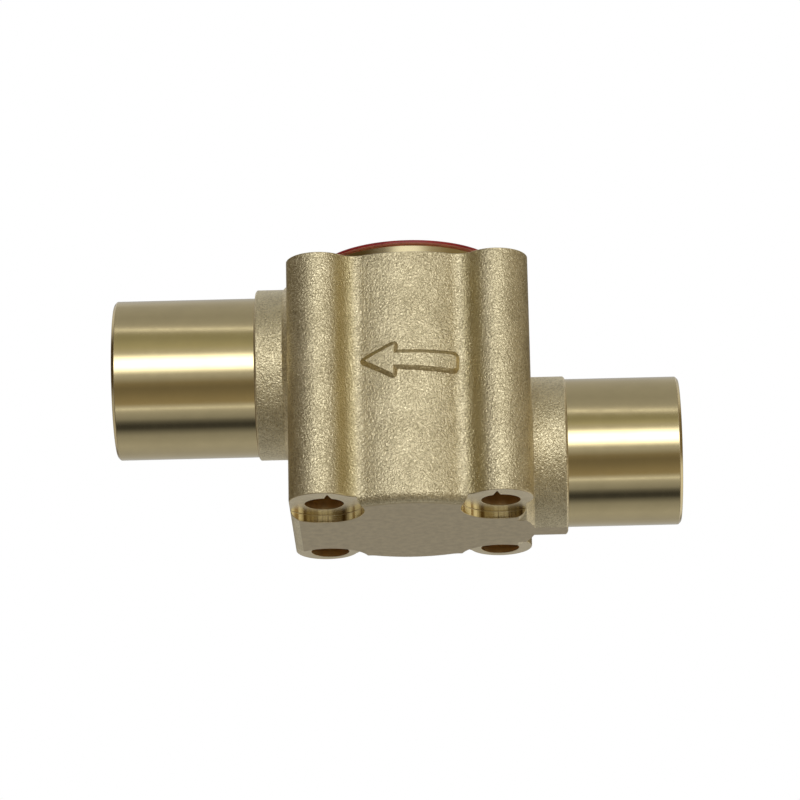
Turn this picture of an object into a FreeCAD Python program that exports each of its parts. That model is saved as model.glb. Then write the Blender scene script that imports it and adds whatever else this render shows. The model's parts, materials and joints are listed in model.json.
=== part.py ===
import FreeCAD, Part
import math
import os

from FreeCAD import Vector

# Straight-through brass body of a refrigerant expansion valve, with a push-in plastic cap.
# Millimetres. The bore axis is +Z, the flat machined bottom is z = 0, the outlet neck points
# along -X and the inlet neck along +X. The arrow side of the casting faces -Y.

# Drilled and faced features, all placed from the bore axis
bolt_spacing_x = 38.0
bolt_spacing_y = 38.0
bolt_hole_diameter = 8.4
spot_face_diameter = 17.3
spot_face_depth = 1.7
body_height = 56.35

# Cast outline. It sits a little off the drilled holes, towards the arrow side, and each column
# spreads a little outwards from its hole.
column_radius = 7.0
column_spread = 0.375
cast_shift_x = -0.225
cast_shift_y = -1.075
barrel_radius = 26.0
barrel_shift_y = -0.25
valley_radius = 4.5
back_barrel_radius = 24.3
back_barrel_shift_y = -3.6
back_valley_radius = 3.0
side_valley_radius = 2.0
right_wall_x = 24.6
bottom_edge_radius = 2.4

# Necks, turned outside, and the cast collars that carry them
outlet_height = 36.8
outlet_reach = 65.2
outlet_outer_diameter = 35.3
outlet_collar_radius = 18.9
outlet_collar_rise = 0.55
outlet_collar_reach = 33.9
outlet_collar_flare = 1.2
inlet_height = 17.7
inlet_reach = 58.7
inlet_outer_diameter = 32.6
inlet_collar_radius = 17.4
inlet_collar_rise = -0.5
inlet_collar_reach = 33.8
inlet_collar_flare = 1.8
collar_edge_chamfer = 0.4
neck_end_chamfer = 0.6

# Solder sockets and the passages behind them
outlet_tube_diameter = 28.6
inlet_tube_diameter = 22.2
solder_gap = 0.05
outlet_socket_depth = 22.0
inlet_socket_depth = 19.0
socket_mouth_chamfer = 0.5
outlet_passage_diameter = 24.0
inlet_passage_diameter = 15.0

# Stepped main bore
rim_diameter = 40.0
rim_height = 4.05
rim_edge_chamfer = 0.4
cage_bore_diameter = 31.0
cage_bore_floor = 28.5
cage_bore_chamfer = 0.8
seat_bore_diameter = 19.0
lower_chamber_diameter = 20.0
lower_chamber_top = 24.5
lower_chamber_floor = 8.5

# Raised flow arrow on the front of the barrel, pointing to the outlet
arrow_height_on_body = 31.6
arrow_tilt = 2.2
arrow_relief = 0.65
arrow_side_slope = 0.6
arrow_point_x = -11.7
arrow_head_x = -2.5
arrow_tail_x = 11.0
arrow_head_width = 9.6
arrow_neck_width = 4.5
arrow_tail_width = 5.2
arrow_point_radius = 0.9
arrow_head_radius = 1.0
arrow_tail_radius = 1.7

# Small torn notches at the front of the two front bolt holes, seen from below
notch_width = 1.6
notch_length = 2.9
notch_rise = 3.0
notch_offset = 0.85

# Protective cap
cap_flange_diameter = 41.0
cap_flange_thickness = 0.75
cap_edge_chamfer = 0.2
cap_clearance = 0.15
cap_plug_depth = 8.0
cap_plug_taper = 0.4
cap_wall = 1.4
cap_floor = 1.3

X_AXIS = Vector(1, 0, 0)
Y_AXIS = Vector(0, 1, 0)
Z_AXIS = Vector(0, 0, 1)

# How far a cutting shape runs past the surface that it opens, and how near two heights count as one
overrun = 1.0
same_place = 1e-6

bolt_xs = (-bolt_spacing_x / 2, bolt_spacing_x / 2)
bolt_ys = (-bolt_spacing_y / 2, bolt_spacing_y / 2)
rim_top = body_height + rim_height
barrel_centre = Vector(cast_shift_x, barrel_shift_y, 0)
back_barrel_centre = Vector(cast_shift_x, back_barrel_shift_y, 0)


def arc_about(centre, radius, start, end, counter_clockwise=True):
    """Arc of a circle in a plane of constant z, between two points on it."""
    first = math.atan2(start.y - centre.y, start.x - centre.x)
    last = math.atan2(end.y - centre.y, end.x - centre.x)
    if counter_clockwise and last < first:
        last += 2 * math.pi
    if not counter_clockwise and last > first:
        last -= 2 * math.pi
    half = (first + last) / 2
    middle = centre + Vector(math.cos(half), math.sin(half), 0) * radius
    return Part.Arc(start, middle, end).toShape()


def point_towards(centre, radius, other):
    """Point of a circle that faces another point."""
    direction = (other - centre).normalize()
    return centre + direction * radius


def valley_centre(column, barrel, barrel_round, valley_round, side):
    """Centre of the round valley that touches a column and a barrel arc, on one side of their line."""
    to_column = column - barrel
    span = to_column.Length
    near = barrel_round + valley_round
    far = column_radius + valley_round
    along = (span**2 + near**2 - far**2) / (2 * span)
    across = math.sqrt(near**2 - along**2)
    unit = to_column.normalize()
    normal = Vector(-unit.y, unit.x, 0)
    return barrel + unit * along + normal * (side * across)


def wall_valley_centre(column, side):
    """Centre of the round valley that touches a column and the flat wall beside the inlet."""
    x = right_wall_x + side_valley_radius
    reach = column_radius + side_valley_radius
    return Vector(x, column.y + side * math.sqrt(reach**2 - (x - column.x) ** 2), 0)


def barrel_side(first, second, barrel, barrel_round, valley_round):
    """Valley, barrel arc and valley between two columns, with the points where it leaves and meets them."""
    valley = valley_centre(first, barrel, barrel_round, valley_round, 1)
    leaves = point_towards(first, column_radius, valley)
    barrel_start = point_towards(barrel, barrel_round, valley)
    edges = [arc_about(valley, valley_round, leaves, barrel_start, False)]
    valley = valley_centre(second, barrel, barrel_round, valley_round, -1)
    barrel_end = point_towards(barrel, barrel_round, valley)
    meets = point_towards(second, column_radius, valley)
    edges.append(arc_about(barrel, barrel_round, barrel_start, barrel_end))
    edges.append(arc_about(valley, valley_round, barrel_end, meets, False))
    return leaves, edges, meets


def inlet_side(front, back):
    """Flat wall between two small valleys, from the front column to the back one."""
    valley = wall_valley_centre(front, 1)
    leaves = point_towards(front, column_radius, valley)
    flat_start = valley - X_AXIS * side_valley_radius
    edges = [arc_about(valley, side_valley_radius, leaves, flat_start, False)]
    valley = wall_valley_centre(back, -1)
    flat_end = valley - X_AXIS * side_valley_radius
    meets = point_towards(back, column_radius, valley)
    edges.append(Part.LineSegment(flat_start, flat_end).toShape())
    edges.append(arc_about(valley, side_valley_radius, flat_end, meets, False))
    return leaves, edges, meets


def column_places():
    """Axes of the four cast columns: front left, front right, back right, back left."""
    half_x = bolt_spacing_x / 2 + column_spread
    half_y = bolt_spacing_y / 2 + column_spread
    return [Vector(x + cast_shift_x, y + cast_shift_y, 0)
            for x, y in ((-half_x, -half_y), (half_x, -half_y), (half_x, half_y), (-half_x, half_y))]


def cast_outline():
    """Closed outline of the body seen from above: four columns, the barrel and two side walls."""
    front_left, front_right, back_right, back_left = column_places()
    leaves_1, front, meets_1 = barrel_side(front_left, front_right, barrel_centre, barrel_radius, valley_radius)
    leaves_2, inlet, meets_2 = inlet_side(front_right, back_right)
    leaves_3, back, meets_3 = barrel_side(back_right, back_left, back_barrel_centre, back_barrel_radius,
                                          back_valley_radius)
    wall_start = front_left - X_AXIS * column_radius
    wall_end = back_left - X_AXIS * column_radius
    edges = [arc_about(front_left, column_radius, wall_start, leaves_1)] + front
    edges += [arc_about(front_right, column_radius, meets_1, leaves_2)] + inlet
    edges += [arc_about(back_right, column_radius, meets_2, leaves_3)] + back
    edges += [arc_about(back_left, column_radius, meets_3, wall_end)]
    # The outlet side is one flat wall that touches both left columns
    edges.append(Part.LineSegment(wall_end, wall_start).toShape())
    return Part.Wire(edges)


def edges_at_height(shape, z):
    """Edges that lie wholly in the plane at this height."""
    return [e for e in shape.Edges
            if abs(e.BoundBox.ZMin - z) < same_place and abs(e.BoundBox.ZMax - z) < same_place]


def cast_block():
    """The columns and barrel as cast, with a rounded bottom edge."""
    block = Part.Face(cast_outline()).extrude(Z_AXIS * body_height)
    return block.makeFillet(bottom_edge_radius, edges_at_height(block, 0))


def revolved(points, origin, axis):
    """Solid of revolution of a closed profile, whose points are (distance along the axis, radius)."""
    across = Y_AXIS
    corners = [origin + axis * along + across * radius for along, radius in points]
    return Part.Face(Part.makePolygon(corners + corners[:1])).revolve(origin, axis, 360)


def collar(height, rise, side, wall, reach, radius, flare):
    """Cast collar of a neck, flaring into the body's side wall."""
    profile = [
        (0, 0),
        (0, radius + flare),
        (wall, radius + flare),
        (wall + flare, radius),
        (reach - collar_edge_chamfer, radius),
        (reach, radius - collar_edge_chamfer),
        (reach, 0),
    ]
    return revolved(profile, Vector(0, 0, height + rise), X_AXIS * side)


def neck(height, side, reach, outer_diameter):
    """Turned outside of a neck, with a chamfered outer end."""
    radius = outer_diameter / 2
    profile = [
        (0, 0),
        (0, radius),
        (reach - neck_end_chamfer, radius),
        (reach, radius - neck_end_chamfer),
        (reach, 0),
    ]
    return revolved(profile, Vector(0, 0, height), X_AXIS * side)


def socket(height, side, reach, bore_diameter, depth, passage_diameter):
    """Space inside a neck: chamfered solder socket, stop shoulder and passage to the bore axis."""
    bore = bore_diameter / 2
    passage = passage_diameter / 2
    profile = [
        (0, 0),
        (0, passage),
        (reach - depth, passage),
        (reach - depth, bore),
        (reach - socket_mouth_chamfer, bore),
        (reach, bore + socket_mouth_chamfer),
        (reach + overrun, bore + socket_mouth_chamfer),
        (reach + overrun, 0),
    ]
    return revolved(profile, Vector(0, 0, height), X_AXIS * side)


def raised_rim():
    """Machined rim round the main bore, standing on the top face."""
    radius = rim_diameter / 2
    profile = [
        (body_height - rim_height, 0),
        (body_height - rim_height, radius),
        (rim_top - rim_edge_chamfer, radius),
        (rim_top, radius - rim_edge_chamfer),
        (rim_top, 0),
    ]
    return revolved(profile, Vector(0, 0, 0), Z_AXIS)


def main_bore():
    """Stepped space along the bore axis: cage bore, seat bore through the web, and lower chamber."""
    cage = cage_bore_diameter / 2
    seat = seat_bore_diameter / 2
    lower = lower_chamber_diameter / 2
    profile = [
        (lower_chamber_floor, 0),
        (lower_chamber_floor, lower),
        (lower_chamber_top, lower),
        (lower_chamber_top, seat),
        (cage_bore_floor, seat),
        (cage_bore_floor, cage),
        (rim_top - cage_bore_chamfer, cage),
        (rim_top, cage + cage_bore_chamfer),
        (rim_top + overrun, cage + cage_bore_chamfer),
        (rim_top + overrun, 0),
    ]
    return revolved(profile, Vector(0, 0, 0), Z_AXIS)


def inner_space():
    """Everything hollow on the centre plane: both neck spaces and the main bore, with the web left standing."""
    outlet = socket(outlet_height, -1, outlet_reach, outlet_tube_diameter + 2 * solder_gap,
                    outlet_socket_depth, outlet_passage_diameter)
    inlet = socket(inlet_height, 1, inlet_reach, inlet_tube_diameter + 2 * solder_gap,
                   inlet_socket_depth, inlet_passage_diameter)
    web = Part.makeCylinder(cage_bore_diameter / 2, cage_bore_floor - lower_chamber_top,
                            Vector(0, 0, lower_chamber_top))
    return [outlet.cut(web), inlet.cut(web), main_bore()]


def bolt_holes():
    """Through holes in the columns, each with a spot face at the bottom."""
    cuts = []
    for x in bolt_xs:
        for y in bolt_ys:
            below = Vector(x, y, -overrun)
            cuts.append(Part.makeCylinder(bolt_hole_diameter / 2, body_height + 2 * overrun, below))
            cuts.append(Part.makeCylinder(spot_face_diameter / 2, spot_face_depth + overrun, below))
    return cuts


def notches():
    """Pointed notches that run out from the front bolt holes on their spot faces."""
    start = notch_width
    growth = (notch_length + start) / notch_length
    half_width, rise = notch_width / 2 * growth, notch_rise * growth
    hole_front = bolt_ys[0] - bolt_hole_diameter / 2
    cuts = []
    for x in bolt_xs:
        middle = x - math.copysign(notch_offset, x)
        base = [Vector(middle - half_width, hole_front + start, spot_face_depth),
                Vector(middle + half_width, hole_front + start, spot_face_depth),
                Vector(middle, hole_front - notch_length, spot_face_depth)]
        top = Vector(middle, hole_front + start, spot_face_depth + rise)
        faces = [Part.Face(Part.makePolygon(ring + ring[:1]))
                 for ring in (base, [base[0], base[1], top], [base[1], base[2], top], [base[2], base[0], top])]
        cuts.append(Part.makeSolid(Part.makeShell(faces)))
    return cuts


def rounded_outline(corners):
    """Closed outline through corners given as (point, radius); a radius of 0 leaves the corner sharp."""
    points = [point for point, radius in corners]
    ends = []
    for i, (corner, radius) in enumerate(corners):
        to_last = (points[i - 1] - corner).normalize()
        to_next = (points[(i + 1) % len(points)] - corner).normalize()
        half = to_last.getAngle(to_next) / 2
        along = radius / math.tan(half)
        inward = (to_last + to_next).normalize()
        middle = corner + inward * (radius / math.sin(half) - radius)
        ends.append((corner + to_last * along, middle, corner + to_next * along))
    edges = []
    for i, (first, middle, last) in enumerate(ends):
        if corners[i][1] > 0:
            edges.append(Part.Arc(first, middle, last).toShape())
        edges.append(Part.LineSegment(last, ends[(i + 1) % len(ends)][0]).toShape())
    return Part.Wire(edges)


def flow_arrow():
    """Raised arrow that follows the round of the barrel, with sloping sides."""
    half_head, half_neck, half_tail = arrow_head_width / 2, arrow_neck_width / 2, arrow_tail_width / 2
    side = [
        (arrow_head_x, half_head, arrow_head_radius),
        (arrow_head_x, half_neck, 0),
        (arrow_tail_x, half_tail, arrow_tail_radius),
    ]
    below = [(x, -z, radius) for x, z, radius in reversed(side)]
    corners = [(Vector(x, 0, z), radius) for x, z, radius in [(arrow_point_x, 0, arrow_point_radius)] + side + below]
    prism = Part.Face(rounded_outline(corners)).extrude(-Y_AXIS * (barrel_radius + body_height))
    prism.rotate(Vector(0, 0, 0), Y_AXIS, arrow_tilt)
    prism.translate(Z_AXIS * arrow_height_on_body)
    shell = Part.makeCylinder(barrel_radius + arrow_relief, body_height, barrel_centre)
    arrow = prism.common(shell)
    outer = [f for f in arrow.Faces if f.Surface.TypeId == "Part::GeomCylinder"
             and abs(f.Surface.Radius - shell.Faces[0].Surface.Radius) < same_place]
    return arrow.makeChamfer(arrow_side_slope, [e for f in outer for e in f.Edges])


def valve_body():
    """The whole brass body: casting, collars and necks, faced flat, then bored and drilled."""
    left_wall = column_radius + column_spread - cast_shift_x + bolt_spacing_x / 2
    outlet = collar(outlet_height, outlet_collar_rise, -1, left_wall, outlet_collar_reach,
                    outlet_collar_radius, outlet_collar_flare)
    inlet = collar(inlet_height, inlet_collar_rise, 1, right_wall_x, inlet_collar_reach,
                   inlet_collar_radius, inlet_collar_flare)
    body = cast_block().multiFuse([outlet, inlet, flow_arrow()])
    reach = outlet_reach + inlet_reach
    slab = Part.makeBox(2 * reach, 2 * reach, body_height, Vector(-reach, -reach, 0))
    body = body.common(slab)
    necks = [
        neck(outlet_height, -1, outlet_reach, outlet_outer_diameter),
        neck(inlet_height, 1, inlet_reach, inlet_outer_diameter),
    ]
    body = body.multiFuse(necks + [raised_rim()])
    return body.cut(inner_space() + bolt_holes() + notches()).removeSplitter()


def protective_cap():
    """Push-in cap: thin flange on the rim, hollow tapered plug in the cage bore."""
    flange = cap_flange_diameter / 2
    plug_top = cage_bore_diameter / 2 - cap_clearance
    plug_end = plug_top - cap_plug_taper
    top = rim_top + cap_flange_thickness
    end = rim_top - cap_plug_depth
    profile = [
        (end, 0),
        (end, plug_end),
        (rim_top, plug_top),
        (rim_top, flange),
        (top - cap_edge_chamfer, flange),
        (top, flange - cap_edge_chamfer),
        (top, plug_top - cap_wall),
        (end + cap_floor, plug_end - cap_wall),
        (end + cap_floor, 0),
    ]
    return revolved(profile, Vector(0, 0, 0), Z_AXIS)


def main():
    os.makedirs("parts", exist_ok=True)
    nodes = {"valve_body": valve_body(), "protective_cap": protective_cap()}
    for name, shape in nodes.items():
        solids = shape.Solids
        print(name, "solids", len(solids), "valid", shape.isValid(), "volume", round(shape.Volume, 1))
        box = shape.optimalBoundingBox(False, False)
        print("  box", [round(v, 3) for v in (box.XMin, box.YMin, box.ZMin, box.XMax, box.YMax, box.ZMax)])
        whole = solids[0] if len(solids) == 1 else Part.makeCompound(solids)
        whole.exportStep("parts/" + name + ".step")


main()
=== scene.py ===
"""Looks of a brass expansion valve body with a push-in plastic cap, in metres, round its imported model."""

import functools
import json
import logging
import math
import operator
from collections.abc import Iterator, Sequence
from contextlib import contextmanager
from dataclasses import dataclass, field
from enum import Enum

import bpy
from mathutils import Matrix, Vector
from mathutils.bvhtree import BVHTree
from mathutils.geometry import barycentric_transform


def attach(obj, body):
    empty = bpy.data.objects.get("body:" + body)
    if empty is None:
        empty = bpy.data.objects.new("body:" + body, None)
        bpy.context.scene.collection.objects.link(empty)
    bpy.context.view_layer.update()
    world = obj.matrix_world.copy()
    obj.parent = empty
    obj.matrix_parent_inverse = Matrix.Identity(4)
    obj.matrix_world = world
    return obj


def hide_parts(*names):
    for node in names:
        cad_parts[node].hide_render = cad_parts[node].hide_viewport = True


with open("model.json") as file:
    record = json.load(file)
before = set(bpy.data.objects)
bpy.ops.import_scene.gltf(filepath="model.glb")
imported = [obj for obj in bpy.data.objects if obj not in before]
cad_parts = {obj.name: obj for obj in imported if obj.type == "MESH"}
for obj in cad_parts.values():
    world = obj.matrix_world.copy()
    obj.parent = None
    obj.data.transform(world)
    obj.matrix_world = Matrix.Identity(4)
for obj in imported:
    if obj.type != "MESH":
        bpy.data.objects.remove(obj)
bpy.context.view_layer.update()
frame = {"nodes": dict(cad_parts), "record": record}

MM = 0.001
IMAGE_SIDE = 800
SAME_POINT = 0.001 * MM
NEAR_SURFACE = 0.04 * MM
FLAT_WITHIN = math.radians(0.4)
FACES_ALIKE = math.cos(math.radians(25))
PLACE_DIGITS = 7
Colour = tuple[float, float, float]
Range = tuple[float, float]

log = logging.getLogger("valve")


def opaque(colour: Colour, share: float = 1.0) -> tuple[float, float, float, float]:
    """A colour times a share, as a colour socket takes it."""
    red, green, blue = (share * part for part in colour)
    return red, green, blue, 1.0


class Term:
    """A shader value that Python's operators extend with Math nodes."""

    def __init__(self, graph: "Graph", socket: bpy.types.NodeSocket) -> None:
        """Wraps one output socket of a node in the graph."""
        self.graph = graph
        self.socket = socket

    def __add__(self, other: "Value") -> "Term":
        """The sum of both values."""
        return self.graph.maths("ADD", self, other)

    def __radd__(self, other: "Value") -> "Term":
        """The sum of both values, with the number first."""
        return self.graph.maths("ADD", other, self)

    def __sub__(self, other: "Value") -> "Term":
        """This value less the other."""
        return self.graph.maths("SUBTRACT", self, other)

    def __rsub__(self, other: "Value") -> "Term":
        """The other value less this one."""
        return self.graph.maths("SUBTRACT", other, self)

    def __mul__(self, other: "Value") -> "Term":
        """The product of both values."""
        return self.graph.maths("MULTIPLY", self, other)

    def __rmul__(self, other: "Value") -> "Term":
        """The product of both values, with the number first."""
        return self.graph.maths("MULTIPLY", other, self)

    def __truediv__(self, other: "Value") -> "Term":
        """This value over the other."""
        return self.graph.maths("DIVIDE", self, other)

    def __pow__(self, other: "Value") -> "Term":
        """This value to the power of the other."""
        return self.graph.maths("POWER", self, other)

    def __abs__(self) -> "Term":
        """The value without its sign."""
        return self.graph.maths("ABSOLUTE", self)

    def band(self, low: float, high: float) -> "Term":
        """How far the value has risen from one level to another, smoothed.

        Args:
            low: The level that counts as 0, and everything below it.
            high: The level that counts as 1, and everything above it.

        Returns:
            A value from 0 to 1.
        """
        settings = {"interpolation_type": "SMOOTHSTEP"}
        sockets = {"Value": self, "From Min": low, "From Max": high}
        return self.graph.node("ShaderNodeMapRange", settings, sockets).out("Result")


Value = Term | float | Sequence[float]


class Made:
    """A node that has been added, with its outputs at hand."""

    def __init__(self, graph: "Graph", node: bpy.types.Node) -> None:
        """Keeps the node and the graph that holds it."""
        self.graph = graph
        self.node = node

    def out(self, name: str) -> Term:
        """The output socket of that name, as a term."""
        return Term(self.graph, next(s for s in self.node.outputs if s.identifier == name))


class Graph:
    """The node tree of one material or of the world."""

    def __init__(self, tree: bpy.types.NodeTree) -> None:
        """Empties the tree, so that everything in it is written here."""
        self.tree = tree
        tree.nodes.clear()

    def node(self, kind: str, settings: dict | None = None, sockets: dict | None = None) -> Made:
        """Adds a node.

        Args:
            kind: The node's type.
            settings: Its properties, and "stops" for a ramp's positions and colours.
            sockets: Values or links for its inputs, by the inputs' identifiers.

        Returns:
            The node that was added.
        """
        added = self.tree.nodes.new(kind)
        for name, value in (settings or {}).items():
            if name == "stops":
                self._set_stops(added.color_ramp, value)
            else:
                setattr(added, name, value)
        for name, value in (sockets or {}).items():
            entry = next(s for s in added.inputs if s.identifier == name)
            if isinstance(value, Term):
                self.tree.links.new(value.socket, entry)
            else:
                entry.default_value = value
        return Made(self, added)

    def maths(self, operation: str, *values: Value) -> Term:
        """Adds a Math node on up to three values."""
        names = ("Value", "Value_001", "Value_002")
        return self.node("ShaderNodeMath", {"operation": operation}, dict(zip(names, values))).out("Value")

    def mix(self, share: Value, low: Value, high: Value) -> Term:
        """A colour between low, at share 0, and high, at share 1."""
        sockets = {"Factor_Float": share, "A_Color": low, "B_Color": high}
        return self.node("ShaderNodeMix", {"data_type": "RGBA"}, sockets).out("Result_Color")

    def place(self) -> Term:
        """Object coordinates, in metres."""
        return self.node("ShaderNodeTexCoord").out("Object")

    def parts(self, vector: Term) -> tuple[Term, Term, Term]:
        """The three components of a vector."""
        split = self.node("ShaderNodeSeparateXYZ", sockets={"Vector": vector})
        return split.out("X"), split.out("Y"), split.out("Z")

    def noise(self, vector: Term, size: float, detail: float = 2.0, rough: float = 0.5,
              twist: float = 0.0) -> Term:
        """Soft noise from 0 to 1.

        Args:
            vector: Where to read it.
            size: Size of its largest lumps, in metres.
            detail: Octaves added below that size.
            rough: How strong the small octaves are.
            twist: How far the pattern is distorted.

        Returns:
            The noise value.
        """
        sockets = {"Vector": vector, "Scale": 1 / size, "Detail": detail, "Roughness": rough,
                   "Distortion": twist}
        return self.node("ShaderNodeTexNoise", sockets=sockets).out("Fac")

    def lines(self, along: Term, size: float, detail: float = 3.0, rough: float = 0.6) -> Term:
        """Noise from 0 to 1 that changes along one value only, as tool marks do."""
        sockets = {"W": along, "Scale": 1 / size, "Detail": detail, "Roughness": rough}
        return self.node("ShaderNodeTexNoise", {"noise_dimensions": "1D"}, sockets).out("Fac")

    def bump(self, height: Term, depth: float) -> Term:
        """A normal bent by a height from 0 to 1 that stands for that depth in metres."""
        sockets = {"Height": height, "Distance": depth, "Strength": 1.0}
        return self.node("ShaderNodeBump", sockets=sockets).out("Normal")

    @staticmethod
    def _set_stops(ramp: bpy.types.ColorRamp, stops: Sequence[tuple[float, Colour]]) -> None:
        """Gives a colour ramp its stops.

        Args:
            ramp: The ramp, which starts with fewer stops than it gets.
            stops: The position and the colour of each, from left to right.
        """
        while len(ramp.elements) < len(stops):
            ramp.elements.new(1.0)
        for element, (position, colour) in zip(ramp.elements, stops):
            element.position = position
            element.color = opaque(colour)


@dataclass(frozen=True)
class Finish:
    """What every finish shares: a name and a main colour."""

    name: str
    colour: Colour

    def material(self) -> bpy.types.Material:
        """Makes the finish's material.

        Returns:
            A new material, with one shader behind its surface.
        """
        made = bpy.data.materials.new(self.name)
        made.use_nodes = True
        graph = Graph(made.node_tree)
        shader = graph.node("ShaderNodeBsdfPrincipled", sockets=self.sockets(graph))
        graph.node("ShaderNodeOutputMaterial", sockets={"Surface": shader.out("BSDF")})
        made.diffuse_color = opaque(self.colour)
        return made

    def sockets(self, graph: Graph) -> dict:
        """The values and links of the shader's sockets."""
        raise NotImplementedError

    def clouded(self, graph: Graph, cloud: Term, spread: Range, dulled: float) -> Term:
        """The main colour, which falls to a share of itself where the cloud is thick."""
        return graph.mix(cloud.band(*spread), opaque(self.colour), opaque(self.colour, dulled))


@dataclass(frozen=True)
class CastSkin(Finish):
    """Forged brass after shot blasting: pale, even and full of fine sparkle."""

    shade: Colour = (0.62, 0.51, 0.30)
    grain: float = 0.45 * MM
    speck: float = 0.2 * MM
    swell: float = 6.0 * MM
    grain_height: float = 0.62
    speck_height: float = 0.2
    swell_height: float = 0.17
    grain_tone: float = 0.5
    speck_tone: float = 0.25
    swell_tone: float = 0.25
    depth: float = 0.34 * MM
    roughness: float = 0.33
    drift: float = 0.16
    tone_spread: Range = (0.34, 0.64)
    valley_middle: float = 14.1 * MM
    valley_floor: float = 0.9 * MM
    valley_reach: float = 3.0 * MM
    valley_starts: Range = (13.0 * MM, 17.0 * MM)
    # Painted shade: a darker olive brass mixed into the four valleys between the columns and the barrel.
    valley_shade_colour: Colour = (0.74, 0.62, 0.30)
    valley_shade_share: float = 0.6

    def sockets(self, graph: Graph) -> dict:
        """Blasted grain over a faint swell, drifting in tone, with painted shade darkening the four
        valleys.

        Args:
            graph: The node tree to build them in.

        Returns:
            A value or a link for each socket, by its name.
        """
        place = graph.place()
        grain = graph.noise(place, self.grain, rough=0.55, twist=0.6)
        speck = graph.noise(place, self.speck, detail=1.0)
        swell = graph.noise(place, self.swell)
        height = self.grain_height * grain + self.speck_height * speck + self.swell_height * swell
        tone = self.swell_tone * swell + self.grain_tone * grain + self.speck_tone * speck
        skin = graph.mix(tone.band(*self.tone_spread), opaque(self.shade), opaque(self.colour))
        x, y, _ = graph.parts(place)
        # Painted shade: a mask of the four valleys, where the skin is mixed towards the darker colour.
        off_valley = abs(abs(x) - self.valley_middle)
        near_middle = 1.0 - off_valley.band(self.valley_floor, self.valley_reach)
        painted_valley_shade = near_middle * abs(y).band(*self.valley_starts)
        return {
            "Base Color": graph.mix(self.valley_shade_share * painted_valley_shade, skin, opaque(self.valley_shade_colour)),
            "Metallic": 1.0,
            "Roughness": self.roughness + self.drift * (speck - 0.5),
            "Normal": graph.bump(height, self.depth),
        }


class Axis(Enum):
    """The direction that a tool's marks are spaced along."""

    X = 0
    Z = 2


@dataclass(frozen=True)
class Turned(Finish):
    """Brass with fine rings spaced along an axis, as a lathe or a drill leaves them."""

    along: Axis = Axis.X
    pitch: float = 0.12 * MM
    depth: float = 0.002 * MM
    roughness: float = 0.2
    drift: float = 0.06
    band_size: float = 3.0 * MM
    cloud_size: float = 6.0 * MM
    cloud_spread: Range = (0.25, 0.8)
    dulled: float = 0.93

    def sockets(self, graph: Graph) -> dict:
        """Fine rings, with slow bands and clouds of duller metal.

        Args:
            graph: The node tree to build them in.

        Returns:
            A value or a link for each socket, by its name.
        """
        place = graph.place()
        along = graph.parts(place)[self.along.value]
        rings = graph.lines(along, self.pitch)
        bands = graph.lines(along, self.band_size, detail=2.0)
        cloud = graph.noise(place, self.cloud_size, detail=3.0, rough=0.6)
        return {
            "Base Color": self.clouded(graph, cloud, self.cloud_spread, self.dulled),
            "Metallic": 1.0,
            "Roughness": self.roughness + self.drift * (bands - 0.5) + self.drift * (cloud - 0.5),
            "Normal": graph.bump(rings, self.depth),
        }


@dataclass(frozen=True)
class Faced(Finish):
    """Brass faced flat by a cutter that turned about the main bore's axis."""

    pitch: float = 0.3 * MM
    depth: float = 0.004 * MM
    roughness: float = 0.38
    drift: float = 0.08
    mottle: float = 0.4
    cloud_size: float = 1.8 * MM
    cloud_spread: Range = (0.3, 0.7)
    dulled: float = 0.82

    def sockets(self, graph: Graph) -> dict:
        """Shallow rings about the axis, with a soft mottle.

        Args:
            graph: The node tree to build them in.

        Returns:
            A value or a link for each socket, by its name.
        """
        place = graph.place()
        x, y, _ = graph.parts(place)
        rings = graph.lines((x ** 2.0 + y ** 2.0) ** 0.5, self.pitch)
        cloud = graph.noise(place, self.cloud_size, detail=4.0, rough=0.7)
        return {
            "Base Color": self.clouded(graph, cloud, self.cloud_spread, self.dulled),
            "Metallic": 1.0,
            "Roughness": self.roughness + self.drift * (cloud - 0.5),
            "Normal": graph.bump(rings + self.mottle * cloud, self.depth),
        }


@dataclass(frozen=True)
class SpotFaced(Finish):
    """Bright rings round each of the four bolt holes."""

    bolt_spacing: tuple[float, float] = (38.0 * MM, 38.0 * MM)
    pitch: float = 0.25 * MM
    depth: float = 0.004 * MM
    roughness: float = 0.26
    painted_streak_share: float = 0.0
    drift: float = 0.1
    wall_rate: float = 1.7
    streak_turn: float = 0.22
    streak_spread: Range = (0.46, 0.60)
    streak_colour: Colour = (0.30, 0.19, 0.06)
    cloud_size: float = 2.0 * MM
    cloud_spread: Range = (0.3, 0.7)
    dulled: float = 0.9

    def sockets(self, graph: Graph) -> dict:
        """Rings about the nearest bolt axis, also along the wall, and dark streaks by angle round the hole,
        a painted reflection pattern.

        Args:
            graph: The node tree to build them in.

        Returns:
            A value or a link for each socket, by its name.
        """
        place = graph.place()
        x, y, z = graph.parts(place)
        off_x, off_y = abs(x) - self.bolt_spacing[0] / 2, abs(y) - self.bolt_spacing[1] / 2
        radius = (off_x ** 2.0 + off_y ** 2.0) ** 0.5
        turn = graph.maths("ARCTAN2", off_y, off_x)
        streaks = graph.lines(turn, self.streak_turn, detail=2.0)
        # Painted reflection: dark streaks by angle round the bolt axis.
        dark = self.painted_streak_share * streaks.band(*self.streak_spread)
        rings = graph.lines(radius + self.wall_rate * z, self.pitch)
        cloud = graph.noise(place, self.cloud_size, detail=3.0, rough=0.6)
        worn = self.clouded(graph, cloud, self.cloud_spread, self.dulled)
        return {
            "Base Color": graph.mix(dark, worn, opaque(self.streak_colour)),
            "Metallic": 1.0,
            "Roughness": self.roughness + self.drift * (cloud - 0.5),
            "Normal": graph.bump(rings, self.depth),
        }


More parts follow.
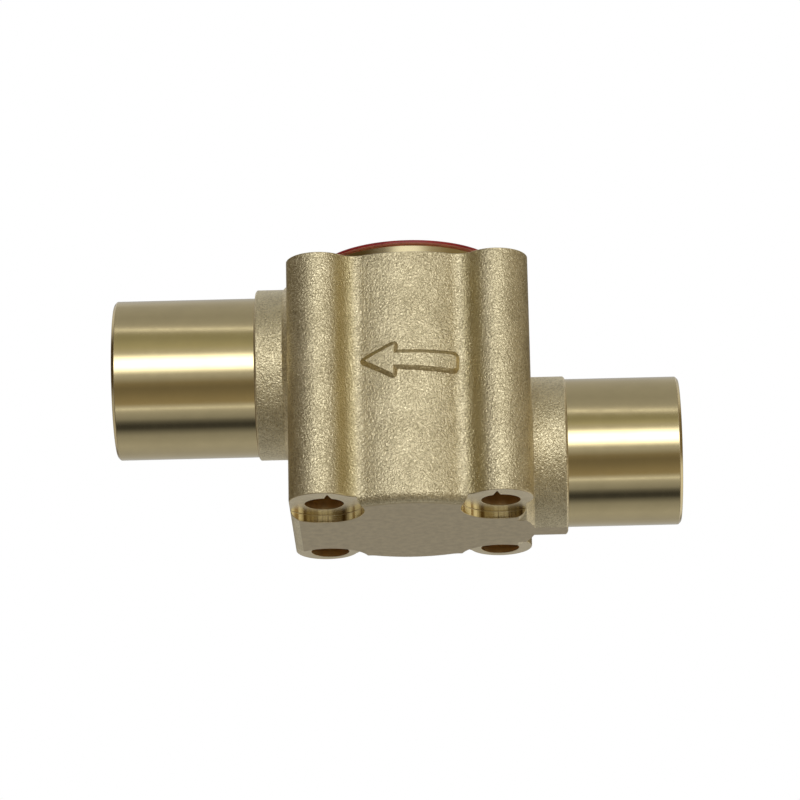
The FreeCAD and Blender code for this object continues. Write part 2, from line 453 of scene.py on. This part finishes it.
@dataclass(frozen=True)
class Moulded(Finish):
    """Soft moulded plastic with a faint flow pattern."""

    shade: Colour = (0.30, 0.01, 0.015)
    roughness: float = 0.36
    drift: float = 0.1
    flow_size: float = 9.0 * MM
    flow_spread: Range = (0.3, 0.75)
    satin_size: float = 0.25 * MM
    satin_depth: float = 0.004 * MM
    glow_share: float = 0.12
    glow_depth: float = 1.0 * MM

    def sockets(self, graph: Graph) -> dict:
        """Slow flow lines and a fine satin grain, on plastic that lets a little light in.

        Args:
            graph: The node tree to build them in.

        Returns:
            A value or a link for each socket, by its name.
        """
        place = graph.place()
        flow = graph.noise(place, self.flow_size, detail=3.0, rough=0.6, twist=1.2)
        satin = graph.noise(place, self.satin_size)
        return {
            "Base Color": graph.mix(flow.band(*self.flow_spread), opaque(self.shade), opaque(self.colour)),
            "Roughness": self.roughness + self.drift * (flow - 0.5),
            "Normal": graph.bump(satin, self.satin_depth),
            "Subsurface Weight": self.glow_share,
            "Subsurface Scale": self.glow_depth,
        }


BRASS: Colour = (0.80, 0.67, 0.40)


class Zone(Enum):
    """The parts of the body's skin that were made in different ways, each with its finish, and zones of
    painted shade or light.
    """

    CAST = CastSkin("cast_brass", (0.94, 0.83, 0.55), (0.57, 0.485, 0.295))
    # Painted shade: a darker brass on the raised arrow's sloping sides, standing in for their dark outline.
    FOLD = CastSkin("cast_brass_arrow_slopes_painted_shade", (0.80, 0.68, 0.40), (0.50, 0.40, 0.21))
    NECK = Turned("turned_brass", (0.70, 0.58, 0.32), roughness=0.12)
    RIM = Turned("turned_rim", (0.85, 0.73, 0.44), Axis.Z, roughness=0.12)
    BORED = Turned("bored_brass", BRASS, Axis.X, pitch=0.2 * MM, depth=0.004 * MM, roughness=0.3)
    CAGE_BORE = Turned("bored_seat", BRASS, Axis.Z, pitch=0.2 * MM, depth=0.004 * MM, roughness=0.3)
    FACED = Faced("faced_brass", (0.58, 0.475, 0.28))
    SPOT = SpotFaced("spot_faced_ring", (0.75, 0.63, 0.39))
    # Painted light: the wall is coloured brighter than the ring, with dark streaks painted round it,
    # standing in for the bright and dark bands that it reflects.
    POCKET = SpotFaced("spot_faced_wall", (1.0, 0.92, 0.60), roughness=0.16, painted_streak_share=0.9)
    DRILLED = Turned("drilled_brass", (0.80, 0.56, 0.25), Axis.Z,
                     pitch=0.6 * MM, depth=0.03 * MM, roughness=0.38, drift=0.2)
    # Painted shade: a dark brown inside the notch at each near hole.
    TORN = Turned("notch_painted_shade", (0.42, 0.29, 0.14), Axis.Z, pitch=0.5 * MM, depth=0.02 * MM, roughness=0.5)
    EDGE = Turned("deburred_edge", (0.72, 0.60, 0.36), Axis.X, roughness=0.3)


ZONES = list(Zone)
EDGE_SLOT = ZONES.index(Zone.EDGE)


def only(piece: bpy.types.Object) -> None:
    """Selects one piece and nothing else, and makes it active.

    Args:
        piece: The piece to select.
    """
    bpy.ops.object.select_all(action="DESELECT")
    piece.select_set(True)
    bpy.context.view_layer.objects.active = piece


@contextmanager
def editing(piece: bpy.types.Object) -> Iterator[None]:
    """Opens a piece's mesh for editing, with all of it selected, and closes it again.

    Args:
        piece: The piece whose mesh is edited.
    """
    only(piece)
    bpy.ops.object.mode_set(mode="EDIT")
    bpy.ops.mesh.select_all(action="SELECT")
    yield
    bpy.ops.object.mode_set(mode="OBJECT")


def merged_copy(node: str, name: str) -> bpy.types.Object:
    """A copy of a CAD node's mesh, with its loose triangles joined into whole faces.

    Args:
        node: The CAD node to copy.
        name: The new piece's name.

    Returns:
        The new piece, with no material.
    """
    piece = bpy.data.objects.new(name, frame["nodes"][node].data.copy())
    bpy.context.scene.collection.objects.link(piece)
    piece.data.materials.clear()
    with editing(piece):
        bpy.ops.mesh.customdata_custom_splitnormals_clear()
        bpy.ops.mesh.remove_doubles(threshold=SAME_POINT)
    return piece


def inner_places(mesh: bpy.types.Mesh) -> list[Vector]:
    """A place that surely lies in each face, also in one that is bent round another.

    Args:
        mesh: The mesh.

    Returns:
        The centre of the largest triangle of each face, in the faces' order.
    """
    mesh.calc_loop_triangles()
    largest: dict[int, bpy.types.MeshLoopTriangle] = {}
    for triangle in mesh.loop_triangles:
        known = largest.get(triangle.polygon_index)
        if known is None or triangle.area > known.area:
            largest[triangle.polygon_index] = triangle
    chosen = (largest[polygon.index].vertices for polygon in mesh.polygons)
    return [sum((mesh.vertices[i].co for i in corners), Vector()) / 3 for corners in chosen]


def take_normals(piece: bpy.types.Object, node: str, edge_slot: int) -> None:
    """Shades a piece with the exact normals of the CAD node's surfaces.

    Args:
        piece: A piece whose faces lie on the node's.
        node: The CAD node.
        edge_slot: The material slot of the broken edges, which turn from one surface to the next.
    """
    source = frame["nodes"][node].data
    source.calc_loop_triangles()
    exact = [Vector(n.vector) for n in source.corner_normals]
    places = [v.co for v in source.vertices]
    triangles = list(source.loop_triangles)
    tree = BVHTree.FromPolygons(places, [t.vertices[:] for t in triangles])

    def surface_normal(point: Vector, flat: Vector) -> Vector:
        """The normal of the near surface that faces most like a face.

        Args:
            point: A place in the face.
            flat: The way that the face faces.

        Returns:
            The surface's exact normal there, or the face's own where no surface faces like it.
        """
        hits = tree.find_nearest_range(point, NEAR_SURFACE)
        where, facing, index, _ = max(hits, key=lambda hit: hit[1].dot(flat), default=(point, flat, 0, 0.0))
        if not hits or facing.dot(flat) < FACES_ALIKE:
            return flat
        corners = [places[i] for i in triangles[index].vertices]
        around = [exact[i] for i in triangles[index].loops]
        return barycentric_transform(where, *corners, *around).normalized()

    mesh = piece.data
    normals = [polygon.normal.copy() for polygon in mesh.polygons for _ in polygon.loop_indices]
    shared: dict[int, Vector] = {}
    for polygon in mesh.polygons:
        polygon.use_smooth = True
        if polygon.material_index == edge_slot:
            continue
        ring = [mesh.vertices[i].co for i in polygon.vertices]
        for step, loop in enumerate(polygon.loop_indices):
            here, before, after = ring[step], ring[step - 1], ring[(step + 1) % len(ring)]
            chord = (after - here).normalized() - (before - here).normalized()
            inward = polygon.normal.cross(chord).normalized()
            normals[loop] = surface_normal(here + inward * NEAR_SURFACE / 2, polygon.normal)
            corner = polygon.vertices[step]
            shared[corner] = shared.get(corner, Vector()) + normals[loop]
    for polygon in mesh.polygons:
        if polygon.material_index == edge_slot:
            for corner, loop in zip(polygon.vertices, polygon.loop_indices):
                normals[loop] = shared.get(corner, polygon.normal).normalized()
    mesh.normals_split_custom_set(normals)


def apply_modifiers(piece: bpy.types.Object) -> None:
    """Applies every modifier of a piece, from the top.

    Args:
        piece: The piece whose modifiers are applied.
    """
    only(piece)
    for modifier in list(piece.modifiers):
        bpy.ops.object.modifier_apply(modifier=modifier.name)


@dataclass(frozen=True)
class FlowArrow:
    """The outline of the raised arrow, to find its faces on the body."""

    centre_height: float = 31.6 * MM
    tilt: float = 2.2
    point: float = -11.7 * MM
    head: float = -2.5 * MM
    tail: float = 11.0 * MM
    head_half: float = 4.8 * MM
    neck_half: float = 2.25 * MM
    tail_half: float = 2.6 * MM
    front: float = -20.0 * MM

    def holds(self, place: Vector) -> bool:
        """Tells whether a place lies within the arrow.

        Args:
            place: A place on the body.

        Returns:
            True for a place on the front that lies within the arrow's outline.
        """
        turn = math.radians(self.tilt)
        height = place.z - self.centre_height
        along = place.x * math.cos(turn) - height * math.sin(turn)
        across = abs(height * math.cos(turn) + place.x * math.sin(turn))
        if place.y > self.front or not self.point < along < self.tail:
            return False
        if along < self.head:
            return across < self.head_half * (along - self.point) / (self.head - self.point)
        share = (along - self.head) / (self.tail - self.head)
        return across < self.neck_half + (self.tail_half - self.neck_half) * share


@dataclass
class ValveBody:
    """The brass body, dressed from a copy of its CAD node.

    The bolt pattern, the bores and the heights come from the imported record's mounts.
    """

    spot_face_radius: float = 8.65 * MM
    spot_face_depth: float = 1.7 * MM
    outlet_collar_reach: float = 33.9 * MM
    inlet_collar_reach: float = 33.8 * MM
    rim_radius: float = 20.0 * MM
    cage_radius: float = 15.5 * MM
    notch_length: float = 2.9 * MM
    notch_half_width: float = 2.5 * MM
    notch_rise: float = 5.0 * MM
    foot_reach: float = 23.5 * MM
    foot_half_width: float = 10.5 * MM
    foot_height: float = 0.5 * MM
    edge_round: float = 0.12 * MM
    edge_steps: int = 1
    smooth_below: float = 30.0
    level_face: float = 0.5
    near: float = 0.02 * MM
    arrow: FlowArrow = FlowArrow()
    arrow_axis: tuple[float, float] = (-0.225 * MM, -0.25 * MM)
    arrow_edge_width: float = 0.35 * MM
    arrow_edge_drop: float = 0.2 * MM
    arrow_lean: float = 20.0
    mounts: dict = field(default_factory=lambda: {m["name"]: m for m in frame["record"]["mounts"]})

    def build(self) -> bpy.types.Object:
        """Makes the dressed body.

        Returns:
            The piece, which rides on the body and stands for its CAD node.
        """
        piece = merged_copy("valve_body", "brass_body")
        self.clean(piece)
        self.soften_arrow(piece)
        self.paint(piece)
        self.deburr(piece)
        take_normals(piece, "valve_body", EDGE_SLOT)
        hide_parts("valve_body")
        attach(piece, "body")
        return piece

    def clean(self, piece: bpy.types.Object) -> None:
        """Joins points that nearly meet and drops the edges that lie inside flat faces.

        Args:
            piece: The merged copy of the body.
        """
        with editing(piece):
            bpy.ops.mesh.remove_doubles(threshold=self.near)
            bpy.ops.mesh.dissolve_limited(angle_limit=FLAT_WITHIN)

    def soften_arrow(self, piece: bpy.types.Object) -> None:
        """Rolls the upper edge of the raised arrow over, as shot blasting leaves it.

        Args:
            piece: The cleaned copy of the body.
        """
        with editing(piece):
            bpy.ops.mesh.select_mode(type="FACE")
            bpy.ops.mesh.select_all(action="DESELECT")
        mesh = piece.data
        for polygon, place in zip(mesh.polygons, inner_places(mesh)):
            polygon.select = self.arrow.holds(place) and not self.leans(place, polygon.normal)
        uses: dict[tuple[int, int], int] = {}
        for polygon in mesh.polygons:
            if polygon.select:
                for key in polygon.edge_keys:
                    uses[key] = uses.get(key, 0) + 1
        outer = (i for key, count in uses.items() if count == 1 for i in key)
        rim = {mesh.vertices[i].co.to_tuple(PLACE_DIGITS) for i in outer}
        bpy.ops.object.mode_set(mode="EDIT")
        bpy.ops.mesh.inset(thickness=self.arrow_edge_width, depth=0.0)
        bpy.ops.mesh.select_mode(type="VERT")
        bpy.ops.mesh.select_all(action="DESELECT")
        bpy.ops.object.mode_set(mode="OBJECT")
        for vertex in mesh.vertices:
            vertex.select = vertex.co.to_tuple(PLACE_DIGITS) in rim
        bpy.ops.object.mode_set(mode="EDIT")
        bpy.ops.transform.shrink_fatten(value=-self.arrow_edge_drop)
        bpy.ops.object.mode_set(mode="OBJECT")

    def leans(self, point: Vector, normal: Vector) -> bool:
        """True where a face leans away from the round of the barrel, as the arrow's sides do."""
        outward = Vector((point.x - self.arrow_axis[0], point.y - self.arrow_axis[1], 0.0))
        return normal.angle(outward) > math.radians(self.arrow_lean)

    def deburr(self, piece: bpy.types.Object) -> None:
        """Breaks the sharp edges that a tool has cut, and leaves the cast ones as they are.

        Args:
            piece: The painted body, whose slots tell what cut each face.
        """
        mesh = piece.data
        beside: dict[tuple[int, int], list[bpy.types.MeshPolygon]] = {}
        for polygon in mesh.polygons:
            for key in polygon.edge_keys:
                beside.setdefault(key, []).append(polygon)
        weight = mesh.attributes.new("bevel_weight_edge", "FLOAT", "EDGE")
        as_forged = {ZONES.index(Zone.CAST), ZONES.index(Zone.FOLD)}
        notch_shade_slot = ZONES.index(Zone.TORN)
        for edge in mesh.edges:
            first, second = beside[edge.key]
            slots = {first.material_index, second.material_index}
            middle = (mesh.vertices[edge.vertices[0]].co + mesh.vertices[edge.vertices[1]].co) / 2
            sharp = first.normal.angle(second.normal) > math.radians(self.smooth_below)
            cut = not slots <= as_forged
            whole = notch_shade_slot not in slots
            if sharp and cut and whole and not self.is_under_collar(middle):
                weight.data[edge.index].value = 1.0
        bevel = piece.modifiers.new("deburr", "BEVEL")
        bevel.width = self.edge_round
        bevel.segments = self.edge_steps
        bevel.limit_method = "WEIGHT"
        bevel.use_clamp_overlap = False
        bevel.material = EDGE_SLOT
        apply_modifiers(piece)

    def is_under_collar(self, point: Vector) -> bool:
        """True where the low collar runs into the bottom edge, which is too fine to break."""
        low_and_far = point.z < self.foot_height and abs(point.x) > self.foot_reach
        return low_and_far and abs(point.y) < self.foot_half_width

    def paint(self, piece: bpy.types.Object) -> None:
        """Gives each face the finish of the zone that it lies in.

        Args:
            piece: The body, with no materials yet.
        """
        for zone in ZONES:
            piece.data.materials.append(zone.value.material())
        for polygon, place in zip(piece.data.polygons, inner_places(piece.data)):
            polygon.material_index = ZONES.index(self.zone_of(place, polygon.normal))

    def zone_of(self, point: Vector, normal: Vector) -> Zone:
        """The zone of a face.

        Args:
            point: A place in the face.
            normal: The way that it faces.

        Returns:
            The zone, by place and direction.
        """
        dims = self.mounts["element_bolts"]["dims"]
        top = self.mounts["element_bolts"]["pos_m"][2]
        near = self.near
        off_x = abs(point.x) - dims["spacing_x_mm"] / 2 * MM
        off_y = abs(point.y) - dims["spacing_y_mm"] / 2 * MM
        from_bolt = math.hypot(off_x, off_y)
        past_hole = -point.y - (dims["spacing_y_mm"] / 2 + dims["hole_r_mm"]) * MM
        above_spot = point.z - self.spot_face_depth
        if from_bolt < dims["hole_r_mm"] * MM + near and above_spot > near:
            return Zone.DRILLED
        if (near < above_spot < self.notch_rise and abs(off_x) < self.notch_half_width
                and -self.notch_length < past_hole < self.notch_length):
            return Zone.TORN
        if above_spot < near and from_bolt < self.spot_face_radius + near:
            return Zone.POCKET if abs(normal.z) < self.level_face else Zone.SPOT
        if point.z < self.edge_round and normal.z < -self.level_face:
            return Zone.FACED
        # The arrow's sloping sides get the darker painted-shade skin.
        if self.arrow.holds(point) and self.leans(point, normal):
            return Zone.FOLD
        radius = math.hypot(point.x, point.y)
        if point.z > top - near:
            if radius < self.cage_radius + near:
                return Zone.CAGE_BORE
            return Zone.RIM if radius < self.rim_radius + near else Zone.FACED
        if point.x < 0:
            mount, reach = self.mounts["outlet_socket"], self.outlet_collar_reach
        else:
            mount, reach = self.mounts["inlet_socket"], self.inlet_collar_reach
        from_axis = math.hypot(point.y, point.z - mount["pos_m"][2])
        bore = mount["dims"]["r_mm"] * MM
        if abs(point.x) > reach - near:
            return Zone.NECK if from_axis > bore + near else Zone.BORED
        if radius < self.cage_radius + near:
            return Zone.CAGE_BORE
        if from_axis < bore + near:
            return Zone.BORED
        return Zone.CAST


@dataclass
class ProtectiveCap:
    """The push-in plastic cap, dressed from a copy of its CAD node."""

    edge_round: float = 0.15 * MM
    edge_steps: int = 3
    smooth_below: float = 30.0
    plug_radius: float = 15.35 * MM
    faces_down: float = -0.3
    finish: Moulded = Moulded("red_plastic_skin", (0.47, 0.042, 0.033))
    # Painted light: a much paler red on the flange's underside, standing in for the light that it catches.
    lit_underside_finish: Moulded = Moulded("red_plastic_painted_light_underside", (0.92, 0.42, 0.34), (0.80, 0.30, 0.24))

    def build(self) -> bpy.types.Object:
        """Makes the dressed cap.

        Returns:
            The piece, which rides on the cap and stands for its CAD node.
        """
        piece = merged_copy("protective_cap", "red_cap")
        with editing(piece):
            bpy.ops.mesh.dissolve_limited(angle_limit=FLAT_WITHIN)
        bevel = piece.modifiers.new("soft_edge", "BEVEL")
        bevel.width, bevel.segments, bevel.limit_method = self.edge_round, self.edge_steps, "ANGLE"
        bevel.angle_limit = math.radians(self.smooth_below)
        apply_modifiers(piece)
        bpy.ops.object.shade_smooth_by_angle(angle=math.radians(self.smooth_below))
        piece.data.materials.append(self.finish.material())
        piece.data.materials.append(self.lit_underside_finish.material())
        # Faces under the flange, beyond the plug, get the painted-light colour.
        for polygon, place in zip(piece.data.polygons, inner_places(piece.data)):
            beyond_plug = math.hypot(place.x, place.y) > self.plug_radius
            polygon.material_index = 1 if beyond_plug and polygon.normal.z < self.faces_down else 0
        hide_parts("protective_cap")
        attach(piece, "cap")
        return piece


@dataclass(frozen=True)
class SoftBox:
    """A soft light panel in the surroundings, by its direction from the object in degrees.

    Azimuth 0 is the camera's side and 90 the inlet's. Elevation is above the horizon.
    """

    azimuth: float
    elevation: float
    half_width: float
    half_height: float
    radiance: float
    side_edge: float = 10.0
    edge: float = 7.0

    def glow(self, graph: Graph, azimuth: Term, elevation: Term) -> Term:
        """The panel's light in a direction.

        Args:
            graph: The world's node tree.
            azimuth: The direction's azimuth, in degrees.
            elevation: Its elevation, in degrees.

        Returns:
            The radiance that comes from there, which fades to 0 past the panel's edges.
        """
        turn = abs(graph.maths("WRAP", azimuth - self.azimuth, 180.0, -180.0))
        rise = abs(elevation - self.elevation)
        wide = 1.0 - turn.band(self.half_width - self.side_edge, self.half_width + self.side_edge)
        tall = 1.0 - rise.band(self.half_height - self.edge, self.half_height + self.edge)
        return wide * tall * self.radiance


class Tint(Enum):
    """The tone of the light from a part of the room."""

    PLAIN = (1.0, 1.0, 1.0)
    COOL = (1.0, 1.02, 1.06)
    STRAW = (1.0, 0.97, 0.72)
    WARM = (1.0, 0.85, 0.58)


@dataclass(frozen=True)
class RoomTone:
    """How bright the room is at one pitch round the object's long axis.

    Pitch 0 is level towards the camera, 90 straight up, -90 straight down and 180 level to the back.
    """

    pitch: float
    radiance: float
    tint: Tint = Tint.PLAIN

    def stop(self) -> tuple[float, Colour]:
        """The tone as a stop of a colour ramp that runs once round."""
        red, green, blue = self.tint.value
        return (self.pitch + 180) / 360, (self.radiance * red, self.radiance * green, self.radiance * blue)


@dataclass
class Studio:
    """The camera, the floor and the soft light round the object.

    The room's tones lie on a ring round the object's long axis: a dark strip straight below it,
    a thin bright line on either side of level in front, a warm bench, and paler walls and
    ceiling. Past its ends the side lights take over.
    """

    focal_pixels: float = 4115.95
    distance: float = 0.91147
    pitch: float = -17.748
    yaw: float = 0.761
    roll: float = 1.129
    target: tuple[float, float, float] = (-0.002507, 0.0, 0.03089)
    sensor: float = 36.0
    clip: Range = (0.01, 100.0)
    floor_side: float = 6.0
    floor_fade: Range = (0.25, 0.9)
    floor_drop: float = 0.4 * MM
    floor_colour: Colour = (0.80, 0.80, 0.79)
    floor_roughness: float = 0.8
    floor_glow: Colour = (0.5, 0.5, 0.5)
    boxes: tuple[SoftBox, ...] = (
        SoftBox(0, 6.3, 36, 9.2, 1.55, 24),
        SoftBox(0, 6.3, 14, 9.2, 0.90, 10),
        SoftBox(115, -20, 45, 14, 0.6),
        SoftBox(-115, -20, 45, 14, 0.35),
        SoftBox(125, 45, 42, 12, 0.5),
        SoftBox(-125, 45, 42, 12, 0.5),
    )
    room: tuple[RoomTone, ...] = (
        RoomTone(-180, 0.42), RoomTone(-165, 0.39), RoomTone(-150, 0.36), RoomTone(-127, 0.40),
        RoomTone(-105, 0.29), RoomTone(-98, 0.17), RoomTone(-92, 0.05), RoomTone(-86, 0.04),
        RoomTone(-80, 0.11), RoomTone(-75, 0.27), RoomTone(-66, 0.37), RoomTone(-62, 0.45),
        RoomTone(-59.5, 0.85), RoomTone(-57, 0.50), RoomTone(-52, 0.30, Tint.WARM),
        RoomTone(-43, 0.24, Tint.WARM), RoomTone(-35, 0.19, Tint.WARM), RoomTone(-29, 0.165, Tint.WARM),
        RoomTone(-22, 0.215, Tint.WARM), RoomTone(-12, 0.42), RoomTone(19, 0.55),
        RoomTone(30, 0.40, Tint.STRAW), RoomTone(38, 0.28, Tint.STRAW), RoomTone(46, 0.30, Tint.STRAW),
        RoomTone(51, 0.42), RoomTone(54, 1.20), RoomTone(57, 0.50), RoomTone(64, 0.36),
        RoomTone(80, 0.32), RoomTone(112, 0.37), RoomTone(139, 0.42), RoomTone(180, 0.42),
    )
    slant: float = 90.0
    slant_starts: Range = (25, 45)
    slant_ends: Range = (75, 100)
    exposure: float = 1.15
    left_light: Colour = (0.065, 0.046, 0.02)
    right_light: Colour = (0.18, 0.145, 0.085)
    back_light: Colour = (0.10, 0.08, 0.045)
    left_to_right: Range = (-0.1, 0.1)
    front_to_back: Range = (100, 130)
    room_to_side: Range = (0.15, 0.5)

    def build(self) -> None:
        """Sets up camera, floor, world and view."""
        self.add_camera()
        self.add_floor()
        self.light_world()
        bpy.context.scene.view_settings.view_transform = "Standard"

    def add_camera(self) -> None:
        """Places the camera as the photograph's was, below the object and looking up."""
        turn, rise, tilt = (math.radians(v) for v in (self.yaw, self.pitch, self.roll))
        level = Vector((math.cos(turn), math.sin(turn), 0.0))
        ahead = Vector((-math.sin(turn), math.cos(turn), 0.0))
        forward = math.cos(rise) * ahead - Vector((0.0, 0.0, math.sin(rise)))
        upright = level.cross(forward)
        right = math.cos(tilt) * level - math.sin(tilt) * upright
        up = math.sin(tilt) * level + math.cos(tilt) * upright
        lens = bpy.data.cameras.new("camera")
        lens.sensor_width = self.sensor
        lens.lens = self.focal_pixels * self.sensor / IMAGE_SIDE
        lens.clip_start, lens.clip_end = self.clip
        camera = bpy.data.objects.new("camera", lens)
        bpy.context.scene.collection.objects.link(camera)
        turned = Matrix((right, up, -forward)).transposed()
        stand = Vector(self.target) - self.distance * forward
        camera.matrix_world = Matrix.Translation(stand) @ turned.to_4x4()
        bpy.context.scene.camera = camera

    def add_floor(self) -> None:
        """Lays a pale floor that only the camera sees, and only from above."""
        bpy.ops.object.select_all(action="DESELECT")
        bpy.ops.mesh.primitive_plane_add(size=self.floor_side, location=(0, 0, 0))
        floor = bpy.context.active_object
        floor.name = "floor"
        floor.location.z = -self.floor_drop
        bpy.ops.object.transform_apply(location=True, rotation=True, scale=True)
        made = bpy.data.materials.new("floor_paint")
        made.use_nodes = True
        graph = Graph(made.node_tree)
        x, y, _ = graph.parts(graph.place())
        far = ((x * x + y * y) ** 0.5).band(*(share * self.floor_side / 2 for share in self.floor_fade))
        paint = graph.node("ShaderNodeBsdfPrincipled", sockets={
            "Base Color": opaque(self.floor_colour), "Roughness": self.floor_roughness,
            "Emission Color": opaque(self.floor_glow), "Emission Strength": 1.0})
        clear = graph.node("ShaderNodeBsdfTransparent")
        behind = graph.node("ShaderNodeNewGeometry").out("Backfacing")
        hidden = graph.maths("MAXIMUM", behind, far)
        sockets = {"Fac": hidden, "Shader": paint.out("BSDF"), "Shader_001": clear.out("BSDF")}
        mixed = graph.node("ShaderNodeMixShader", sockets=sockets)
        graph.node("ShaderNodeOutputMaterial", sockets={"Surface": mixed.out("Shader")})
        floor.data.materials.append(made)
        floor.visible_diffuse = floor.visible_glossy = False
        floor.visible_shadow = floor.visible_transmission = False

    def light_world(self) -> None:
        """Surrounds the object with a dim room and soft panels, and shows the camera plain white."""
        world = bpy.data.worlds.new("studio")
        world.use_nodes = True
        bpy.context.scene.world = world
        graph = Graph(world.node_tree)
        x, y, z = graph.parts(graph.node("ShaderNodeTexCoord").out("Generated"))
        degrees = 180 / math.pi
        elevation = graph.maths("ARCSINE", z) * degrees
        azimuth = graph.maths("ARCTAN2", x, 0.0 - y) * degrees
        pitch = graph.maths("ARCTAN2", z, 0.0 - y) * degrees
        upper_front = pitch.band(*self.slant_starts) * (1.0 - pitch.band(*self.slant_ends))
        slanted = pitch + self.slant * x * upper_front
        ramp = {"stops": tuple(tone.stop() for tone in self.room)}
        room = graph.node("ShaderNodeValToRGB", ramp, {"Fac": (slanted + 180.0) / 360.0}).out("Color")
        side = graph.mix(x.band(*self.left_to_right), opaque(self.left_light), opaque(self.right_light))
        side = graph.mix(abs(azimuth).band(*self.front_to_back), side, opaque(self.back_light))
        surround = graph.mix(abs(x).band(*self.room_to_side), room, side)
        glow = functools.reduce(operator.add, (box.glow(graph, azimuth, elevation) for box in self.boxes))
        sockets = {"Vector": glow, "Vector_001": Tint.COOL.value, "Vector_002": surround}
        light = graph.node("ShaderNodeVectorMath", {"operation": "MULTIPLY_ADD"}, sockets).out("Vector")
        seen = graph.node("ShaderNodeBackground", sockets={"Color": (1.0, 1.0, 1.0, 1.0), "Strength": 1.0})
        lit = graph.node("ShaderNodeBackground", sockets={"Color": light, "Strength": self.exposure})
        to_camera = graph.node("ShaderNodeLightPath").out("Is Camera Ray")
        sockets = {"Fac": to_camera, "Shader": lit.out("Background"), "Shader_001": seen.out("Background")}
        mixed = graph.node("ShaderNodeMixShader", sockets=sockets)
        graph.node("ShaderNodeOutputWorld", sockets={"Surface": mixed.out("Shader")})


def main() -> None:
    """Builds the body, the cap and the studio, and reports each piece."""
    logging.basicConfig(level=logging.INFO, format="%(name)s: %(message)s")
    for assembly in (ValveBody(), ProtectiveCap()):
        piece = assembly.build()
        log.info("%s: %d faces", piece.name, len(piece.data.polygons))
    Studio().build()


if __name__ == "__main__":
    main()
